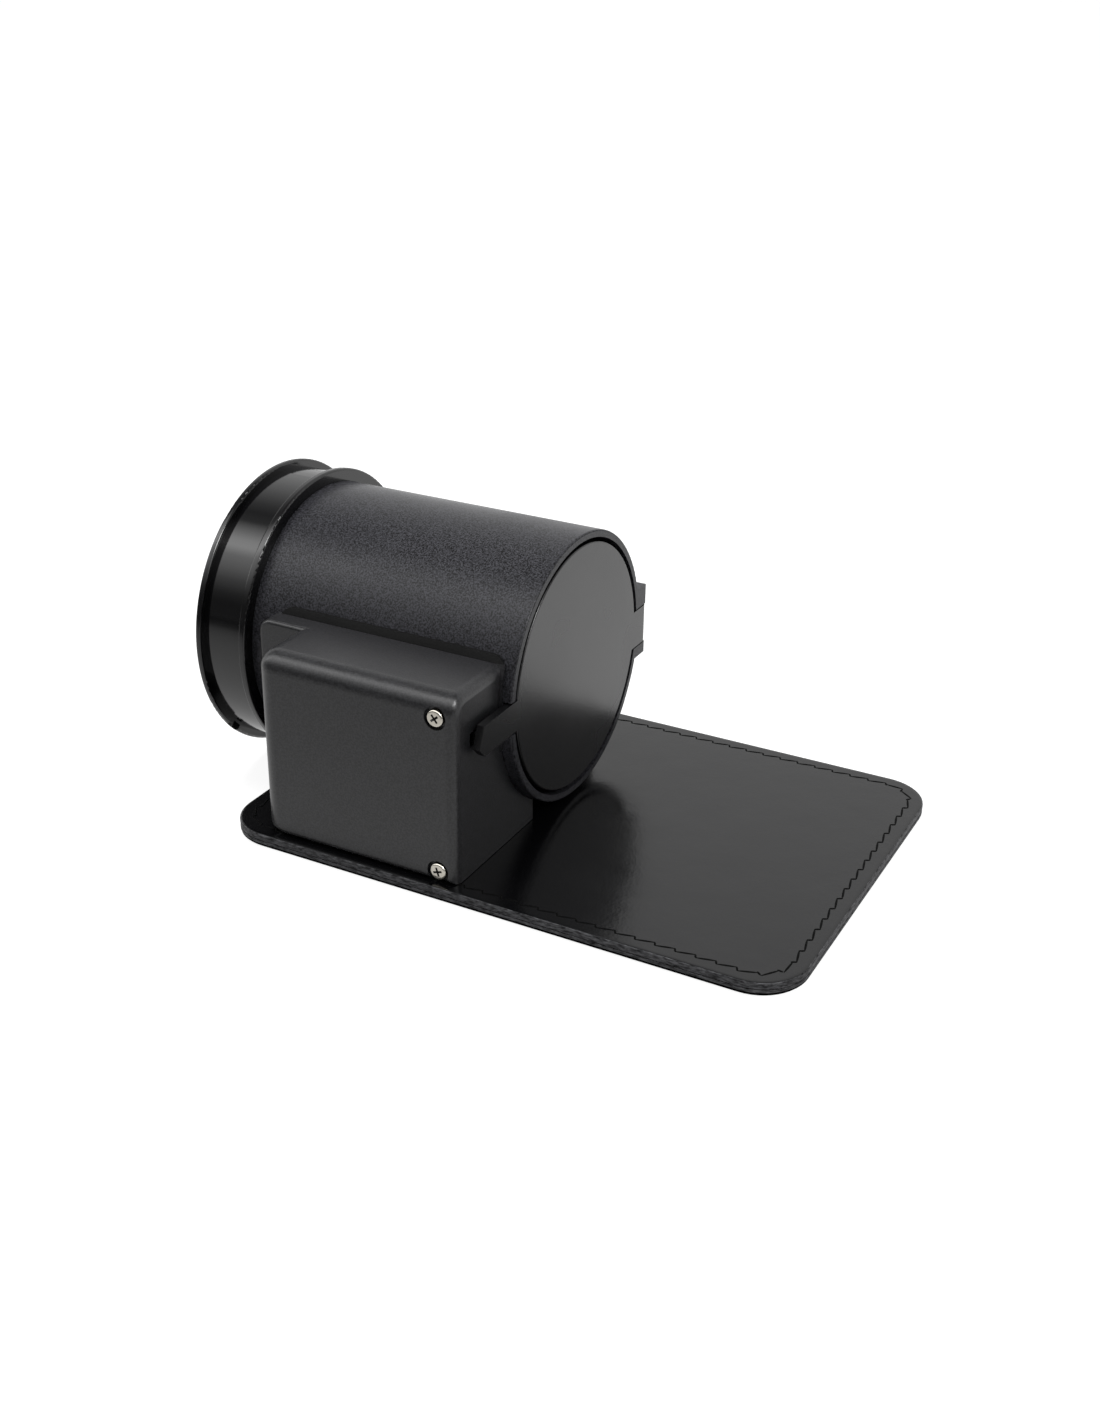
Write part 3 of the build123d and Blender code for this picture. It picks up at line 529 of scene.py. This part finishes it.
def seam_point(distance, length, width, corner):
    """Place and heading at a distance along a rounded rectangle that is centred on the origin."""
    spot = Vector((corner - length / 2, -width / 2))
    for side in range(4):
        heading = side * math.pi / 2
        ahead = Vector((math.cos(heading), math.sin(heading)))
        inward = Vector((-ahead.y, ahead.x))
        run = (length if side % 2 == 0 else width) - 2 * corner
        if distance <= run:
            return spot + ahead * distance, heading
        distance -= run
        spot += ahead * run
        if distance <= corner * math.pi / 2:
            turn = distance / corner
            swing = ahead * math.sin(turn) + inward * (1 - math.cos(turn))
            return spot + corner * swing, heading + turn
        distance -= corner * math.pi / 2
        spot += corner * (ahead + inward)
    return spot, 0.0


def stitching(name, node, outward, stand):
    """A course of slanted thread stitches, joined to a zig-zag by dark lenses at the awl's slits,
    painted shade of the holes.
    """
    low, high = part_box(node)
    length = high.x - low.x - 2 * SEAM_INSET
    width = high.y - low.y - 2 * SEAM_INSET
    corner = PLATE_CORNER - SEAM_INSET
    course = 2 * (length + width) - (8 - 2 * math.pi) * corner
    count = round(course / STITCH_PITCH)
    surface = high.z if outward > 0 else low.z
    level = surface + outward * (stand - STITCH_HEIGHT / 2)
    slit_level = surface + outward * (stand - SLIT_HEIGHT / 2)
    shape = Matrix.Diagonal((STITCH_LENGTH, STITCH_WIDTH, STITCH_HEIGHT, 1))
    slit = Matrix.Diagonal((SLIT_LENGTH, SLIT_WIDTH, SLIT_HEIGHT, 1))
    lengthwise = Matrix.Rotation(math.pi / 2, 4, "Y")
    bm = bmesh.new()
    for i in range(count):
        spot, heading = seam_point(course * i / count, length, width, corner)
        turn = Matrix.Rotation(heading + outward * STITCH_SLANT, 4, "Z")
        place = Matrix.Translation((spot.x, spot.y, level)) @ turn @ shape
        bmesh.ops.create_uvsphere(bm, u_segments=STITCH_SIDES, v_segments=STITCH_STEPS, radius=0.5,
                                  matrix=place @ lengthwise)
        # A dark lens at the slit: painted shade of the hole
        spot, heading = seam_point(course * (i + 0.5) / count, length, width, corner)
        turn = Matrix.Rotation(heading + outward * SLIT_TURN, 4, "Z")
        place = Matrix.Translation((spot.x, spot.y, slit_level)) @ turn @ slit
        bmesh.ops.create_uvsphere(bm, u_segments=STITCH_SIDES, v_segments=STITCH_STEPS, radius=0.5,
                                  matrix=place)
    make_piece(bm, name, "housing", "black_leather", thread)


def grow_edges(bm, edges, scale, rise):
    """Extrude a ring of edges, scale the new ring about the Z axis and lift it."""
    grown = bmesh.ops.extrude_edge_only(bm, edges=edges)["geom"]
    verts = verts_in(grown)
    bmesh.ops.scale(bm, verts=verts, vec=(scale, scale, 1))
    bmesh.ops.translate(bm, verts=verts, vec=(0, 0, rise))
    return [item for item in grown if isinstance(item, bmesh.types.BMEdge)]


def cross_head_screw(name, node, place, profile, slot, finish):
    """A screw with a cross recess, turned from (radius, height) steps from its flat top's edge."""
    bm = bmesh.new()
    top_ring = bmesh.ops.create_circle(bm, segments=SCREW_SIDES, radius=profile[0][0])["verts"]
    rim = edges_of(top_ring)
    half = CROSS_WIDTH / 2
    cross = []
    for quarter in range(4):
        turn = Matrix.Rotation(quarter * math.pi / 2, 3, "Z")
        for corner in ((half, half, 0), (half, CROSS_REACH, 0), (-half, CROSS_REACH, 0)):
            cross.append(bm.verts.new(turn @ Vector(corner)))
    recess = [bm.edges.new((a, b)) for a, b in zip(cross, cross[1:] + cross[:1])]
    bmesh.ops.triangle_fill(bm, use_beauty=True, use_dissolve=False, edges=rim + recess,
                            normal=(0, 0, 1))
    top = set(bm.faces)
    floor_rim = grow_edges(bm, recess, CROSS_FLOOR_SHARE, -CROSS_DEPTH)
    bmesh.ops.contextual_create(bm, geom=floor_rim)
    # The recess walls and floor get the painted shade
    for wall in set(bm.faces) - top:
        wall.material_index = RECESS_SHADE_MATERIAL
    for (radius, height), (next_radius, next_height) in zip(profile, profile[1:]):
        rim = grow_edges(bm, rim, next_radius / radius, next_height - height)
    bmesh.ops.contextual_create(bm, geom=rim)
    bmesh.ops.recalc_face_normals(bm, faces=bm.faces[:])
    bmesh.ops.transform(bm, verts=bm.verts[:], matrix=place)
    screw = make_piece(bm, name, "housing", slot, finish, recess_painted_shade)
    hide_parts(node)


def spring(name, node, axis, wire, turns):
    """A round wire spring wound along an axis, filling the box of its node."""
    low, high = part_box(node)
    centre = (low + high) / 2
    along = Vector(axis)
    aside = Vector((along.y, along.z, along.x))
    length = (high - low).dot(along) - wire
    radius = (high - low).dot(aside) / 2 - wire / 2
    steps = SPRING_STEPS_PER_TURN * turns
    start = centre - along * length / 2
    bm = bmesh.new()
    facing = along.cross(aside).to_track_quat("Z", "Y").to_matrix().to_4x4()
    ring = bmesh.ops.create_circle(bm, cap_ends=True, segments=WIRE_SIDES, radius=wire / 2,
                                   matrix=Matrix.Translation(start + aside * radius) @ facing)["verts"]
    bmesh.ops.spin(bm, geom=ring + edges_of(ring), cent=start, axis=along,
                   dvec=along * length / steps, angle=2 * math.pi * turns, steps=steps,
                   use_merge=False)
    bmesh.ops.contextual_create(bm, geom=open_edges(bm))
    bmesh.ops.recalc_face_normals(bm, faces=bm.faces[:])
    coil = make_piece(bm, name, "housing", "spring_steel", spring_wire)
    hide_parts(node)
    return coil


base_screw_low, base_screw_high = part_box("base_screws")
base_screw_places = [
    (x, y)
    for x in (base_screw_low.x + BASE_HEAD_RADIUS, base_screw_high.x - BASE_HEAD_RADIUS)
    for y in (base_screw_low.y + BASE_HEAD_RADIUS, base_screw_high.y - BASE_HEAD_RADIUS)
]
leather_layer("leather_upper_layer", "base_top_leather", 1, LEATHER_EDGE_ROUND)
leather_layer("leather_lower_layer", "base_bottom_leather", -1, LEATHER_FOOT_ROUND, base_screw_places)
stitching("upper_stitching", "base_top_leather", 1, STITCH_STAND)
stitching("lower_stitching", "base_bottom_leather", -1, STITCH_STAND_BELOW)

base_profile = [
    (BASE_HEAD_RADIUS, 0),
    (BASE_SHANK_RADIUS, -BASE_HEAD_HEIGHT),
    (BASE_SHANK_RADIUS, base_screw_low.z - base_screw_high.z),
]
upside_down = Matrix.Rotation(math.pi, 4, "X")
for index, (x, y) in enumerate(base_screw_places):
    cross_head_screw(f"base_screw_{index + 1}", "base_screws",
                     Matrix.Translation((x, y, base_screw_low.z)) @ upside_down,
                     base_profile, "steel", zinc)

cover_screw_low, cover_screw_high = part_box("cover_screws")
cover_screw_x = (cover_screw_low.x + cover_screw_high.x) / 2
cover_screw_heights = (cover_screw_high.z - COVER_HEAD_RADIUS, cover_screw_low.z + COVER_HEAD_RADIUS)
cover_profile = []
for step in range(DOME_STEPS + 1):
    angle = step / DOME_STEPS * math.pi / 2
    cover_profile.append((
        COVER_TOP_RADIUS + (COVER_HEAD_RADIUS - COVER_TOP_RADIUS) * math.sin(angle),
        COVER_HEAD_ROUND * (math.cos(angle) - 1)))
cover_profile += [
    (COVER_HEAD_RADIUS, -COVER_HEAD_HEIGHT),
    (COVER_SHANK_RADIUS, -COVER_HEAD_HEIGHT),
    (COVER_SHANK_RADIUS, cover_screw_low.y - cover_screw_high.y),
]
facing_near = Matrix.Rotation(math.pi / 2, 4, "X")
for name, z, turn in zip(("upper", "lower"), cover_screw_heights, COVER_SCREW_TURNS):
    outward = Matrix.Translation((cover_screw_x, cover_screw_low.y, z)) @ facing_near
    cross_head_screw(f"cover_screw_{name}", "cover_screws", outward @ Matrix.Rotation(turn, 4, "Z"),
                     cover_profile, "nickel_screw", nickel)

ejector = spring("ejector_coil", "ejector_spring", (1, 0, 0), EJECTOR_WIRE, EJECTOR_TURNS)
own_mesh(ejector)

# The latch's coil is shared by two bodies, so it lets go of the one that it rides on
latch_coil = spring("latch_coil", "latch_return_spring", (0, 0, 1), LATCH_WIRE, LATCH_TURNS)
latch_coil.parent = None
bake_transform(latch_coil)

scene = bpy.context.scene
scene.view_settings.view_transform = "Standard"


def mirrored_or_through(tree):
    """1 for mirror and see-through rays, which show the studio, and the ray kinds' node."""
    path = add_node(tree, "ShaderNodeLightPath")
    either = add_node(tree, "ShaderNodeMath", {
        0: path.outputs["Is Glossy Ray"], 1: path.outputs["Is Transmission Ray"]}, operation="MAXIMUM")
    return either.outputs[0], path


def floor_glow(tree, level, strength):
    """The floor's own white on top of the light that falls on it."""
    dull = add_node(tree, "ShaderNodeBsdfDiffuse", {"Color": grey(level)})
    glow = add_node(tree, "ShaderNodeEmission", {"Strength": strength})
    return add_node(tree, "ShaderNodeAddShader", {0: dull.outputs[0], 1: glow.outputs[0]}).outputs[0]


floor_material, floor_tree, floor_place = new_material("white_studio_floor")
floor_mirrored, floor_path = mirrored_or_through(floor_tree)
floor_plain = add_node(floor_tree, "ShaderNodeBsdfDiffuse", {"Color": grey(FLOOR_PLAIN_GREY)})
floor_axes = add_node(floor_tree, "ShaderNodeSeparateXYZ", {"Vector": floor_place})
# In mirror rays the floor glows as a painted pool of light, dim at the front and brightest towards the
# back
mirrored_light_pool = remap(floor_tree, floor_axes.outputs["Y"], (POOL_FRONT, POOL_BACK), 0.0, POOL_BACK_LEVEL)
floor_mix = add_node(floor_tree, "ShaderNodeMixShader", {
    0: floor_mirrored, 1: floor_plain.outputs[0],
    2: floor_glow(floor_tree, FLOOR_MIRRORED_GREY, mirrored_light_pool)})
floor_all = add_node(floor_tree, "ShaderNodeMixShader", {
    0: floor_path.outputs["Is Camera Ray"], 1: floor_mix.outputs[0],
    2: floor_glow(floor_tree, FLOOR_SEEN_GREY, FLOOR_SEEN)})
add_node(floor_tree, "ShaderNodeOutputMaterial", {"Surface": floor_all.outputs[0]})

floor_bm = bmesh.new()
bmesh.ops.create_grid(floor_bm, x_segments=1, y_segments=1, size=FLOOR_HALF,
                      matrix=Matrix.Translation((0, 0, -FLOOR_DROP)))
floor_mesh = bpy.data.meshes.new("studio_floor")
floor_bm.to_mesh(floor_mesh)
floor_bm.free()
floor_mesh.materials.append(floor_material)
floor = bpy.data.objects.new("studio_floor", floor_mesh)
scene.collection.objects.link(floor)

world = bpy.data.worlds.new("studio_surroundings")
world.use_nodes = True
world_tree = world.node_tree
world_tree.nodes.clear()
heading = add_node(world_tree, "ShaderNodeTexCoord").outputs["Generated"]
parts = add_node(world_tree, "ShaderNodeSeparateXYZ", {"Vector": heading})
frontward = add_node(world_tree, "ShaderNodeMath", {
    0: parts.outputs["Y"], 1: -1.0}, operation="MULTIPLY")
climb = add_node(world_tree, "ShaderNodeMath", {
    0: parts.outputs["Z"], 1: frontward.outputs[0]}, operation="ARCTAN2")
share = add_node(world_tree, "ShaderNodeMath", {
    0: climb.outputs[0], 1: math.pi}, operation="DIVIDE")
ramp = add_node(world_tree, "ShaderNodeValToRGB", {"Fac": share.outputs[0]})
while len(ramp.color_ramp.elements) < len(SURROUNDINGS):
    ramp.color_ramp.elements.new(1.0)
for stop, (degrees, level) in zip(ramp.color_ramp.elements, SURROUNDINGS):
    stop.position = degrees / 180
    stop.color = grey(level / SURROUNDINGS_TOP)
studio = add_node(world_tree, "ShaderNodeBackground", {
    "Color": ramp.outputs["Color"], "Strength": SURROUNDINGS_TOP})
ambient = add_node(world_tree, "ShaderNodeBackground", {"Color": grey(1.0), "Strength": AMBIENT})
white = add_node(world_tree, "ShaderNodeBackground", {"Color": grey(1.0), "Strength": 1.0})
world_mirrored, world_path = mirrored_or_through(world_tree)
world_mix = add_node(world_tree, "ShaderNodeMixShader", {
    0: world_mirrored, 1: ambient.outputs[0], 2: studio.outputs[0]})
world_all = add_node(world_tree, "ShaderNodeMixShader", {
    0: world_path.outputs["Is Camera Ray"], 1: world_mix.outputs[0], 2: white.outputs[0]})
add_node(world_tree, "ShaderNodeOutputWorld", {"Surface": world_all.outputs[0]})
scene.world = world


def soft_lamp(name, direction, size, watts):
    """A square soft lamp that faces the object's middle."""
    middle = (cad_low + cad_high) / 2
    lamp = bpy.data.lights.new(name, "AREA")
    lamp.size = size
    lamp.energy = watts
    holder = bpy.data.objects.new(name, lamp)
    holder.location = middle + Vector(direction).normalized() * LAMP_DISTANCE
    holder.rotation_euler = Vector(direction).to_track_quat("Z", "Y").to_euler()
    scene.collection.objects.link(holder)
    return holder


key_lamp = soft_lamp("key_lamp", KEY_LAMP_FROM, KEY_LAMP_SIZE, KEY_LAMP_WATTS)
key_lamp.visible_glossy = False
soft_lamp("side_lamp", SIDE_LAMP_FROM, SIDE_LAMP_SIZE, SIDE_LAMP_WATTS)

camera = bpy.data.objects.new("photo_camera", bpy.data.cameras.new("photo_camera"))
camera.data.sensor_width = SENSOR
camera.data.lens = SENSOR * FOCAL_PIXELS / PHOTO_HEIGHT
camera.data.clip_start = CLIP_START
flat = math.cos(CAMERA_ELEVATION)
back = Vector((
    math.sin(CAMERA_AZIMUTH) * flat, -math.cos(CAMERA_AZIMUTH) * flat, math.sin(CAMERA_ELEVATION)))
camera.location = CAMERA_AT
camera.rotation_mode = "QUATERNION"
roll = Matrix.Rotation(CAMERA_ROLL, 3, back).to_quaternion()
camera.rotation_quaternion = roll @ (-back).to_track_quat("-Z", "Y")
scene.collection.objects.link(camera)
scene.camera = camera
